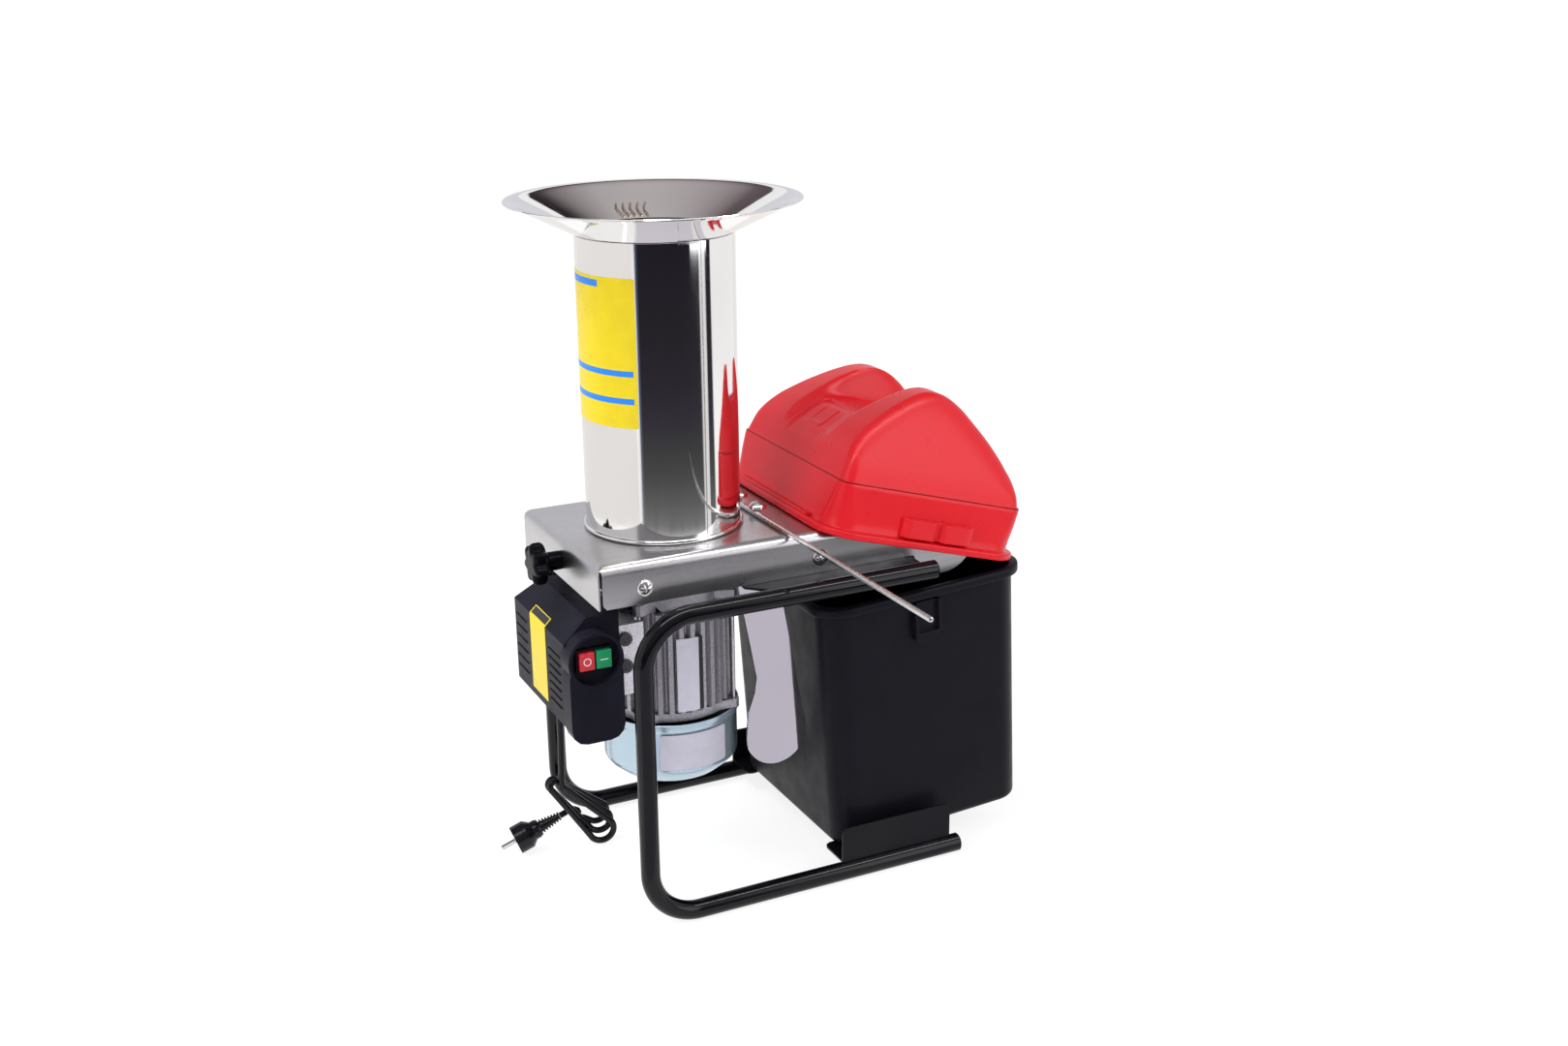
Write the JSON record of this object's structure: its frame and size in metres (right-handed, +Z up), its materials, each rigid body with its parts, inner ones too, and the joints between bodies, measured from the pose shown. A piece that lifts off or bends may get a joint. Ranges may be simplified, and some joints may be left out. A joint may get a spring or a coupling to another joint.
{
  "type": "electric fruit crusher",
  "caption": "Electric fruit crusher: steel tube hopper over a motor-driven knife chamber on a tubular stand, with a lift-off hood over a slide-out pulp bucket.",
  "frame": {"origin": "on the floor, under the centre of the footprint of the machine without its cord and plug", "axes": "+Z up, +X from the motor towards the bucket, -Y towards the side with the switch"},
  "size_m": [0.6213, 0.5958, 0.8119],
  "materials": {
    "gloss_black": "gloss black paint",
    "brushed_steel": "satin, fine brushed",
    "polished_steel": "mirror-polished stainless steel",
    "bright_steel": "bright turned steel",
    "cast_aluminium": "as cast, matt grey",
    "blue_zinc": "pale blue, satin",
    "core_plates": "stacked plates with windings",
    "charcoal_plastic": "charcoal, satin",
    "black_plastic": "black, satin",
    "black_rubber": "black, soft sheen",
    "red_plastic": "bright red, glossy",
    "stop_red": "red",
    "start_green": "green"
  },
  "bodies": {
    "stand": {"chamber_floor": "brushed_steel", "chamber_ring": "brushed_steel", "chassis": "brushed_steel", "cord_drop": "black_rubber", "cord_gland": "black_rubber", "cord_hank": "black_rubber", "cord_lead": "black_rubber", "fan_cover": "blue_zinc", "far_bucket_bracket": "gloss_black", "far_frame_tube": "gloss_black", "far_left_bolt": "bright_steel", "far_lower_cap": "black_plastic", "far_mounting_rail": "gloss_black", "far_right_bolt": "bright_steel", "far_rod_stud": "bright_steel", "far_upper_cap": "black_plastic", "left_plug_pin": "bright_steel", "lower_bearing": "bright_steel", "lower_end_bell": "cast_aluminium", "near_bucket_bracket": "gloss_black", "near_frame_tube": "gloss_black", "near_left_bolt": "bright_steel", "near_lower_cap": "black_plastic", "near_mounting_rail": "gloss_black", "near_right_bolt": "bright_steel", "near_rod_stud": "bright_steel", "near_upper_cap": "black_plastic", "outlet_chute": "brushed_steel", "plug_body": "black_rubber", "right_plug_pin": "bright_steel", "stator_core": "core_plates", "stator_housing": "cast_aluminium", "switch_base": "charcoal_plastic", "switch_block": "black_plastic", "switch_cover": "charcoal_plastic", "terminal_pad": "cast_aluminium", "tie_rod_135": "bright_steel", "tie_rod_225": "bright_steel", "tie_rod_315": "bright_steel", "tie_rod_45": "bright_steel", "tongue_plate": "polished_steel", "upper_bearing": "bright_steel", "upper_end_bell": "cast_aluminium"},
    "hopper": {"hopper_tube": "polished_steel", "hopper_rim": "polished_steel", "foot_ring": "polished_steel"},
    "rotor": {"motor_shaft": "bright_steel", "rotor_core": "core_plates", "knife_disc": "bright_steel", "shaft_nut": "bright_steel", "cooling_fan": "charcoal_plastic"},
    "stop_key": {"stop_button": "stop_red"},
    "start_key": {"start_button": "start_green"},
    "clamp_knob": {"star_knob": "black_plastic", "knob_stem": "bright_steel"},
    "rod": {"cross_rod": "bright_steel"},
    "pulp_bucket": {"bucket": "black_plastic"},
    "cover": {"hood": "red_plastic"}
  },
  "joints": [
    {"name": "hopper_lift", "type": "slide", "parent": "stand", "child": "hopper", "axis": [0, 0, 1], "range_m": [0, 0.12]},
    {"name": "rotor_spin", "type": "hinge", "parent": "stand", "child": "rotor", "pos_m": [-0.12839, 0.13008, 0.3945], "axis": [0, 0, 1], "continuous": true},
    {"name": "stop_press", "type": "slide", "parent": "stand", "child": "stop_key", "axis": [0, 1, 0], "range_m": [0, 0.003], "stiffness_N_per_m": 600, "springref_m": -0.002},
    {"name": "start_press", "type": "slide", "parent": "stand", "child": "start_key", "axis": [0, 1, 0], "range_m": [0, 0.003], "stiffness_N_per_m": 600, "springref_m": -0.002},
    {"name": "knob_turn", "type": "hinge", "parent": "stand", "child": "clamp_knob", "pos_m": [-0.25839, 0.13008, 0.408], "axis": [1, 0, 0], "range_deg": [-720, 0]},
    {"name": "rod_slide", "type": "slide", "parent": "stand", "child": "rod", "axis": [0.0148, -0.9999, 0], "range_m": [-0.25, 0.08]},
    {"name": "bucket_slide", "type": "slide", "parent": "stand", "child": "pulp_bucket", "axis": [0.9983, 0, 0.0576], "range_m": [0, 0.3]},
    {"name": "cover_lift", "type": "slide", "parent": "stand", "child": "cover", "axis": [0.2792, 0, 0.9602], "range_m": [0, 0.25]}
  ]
}
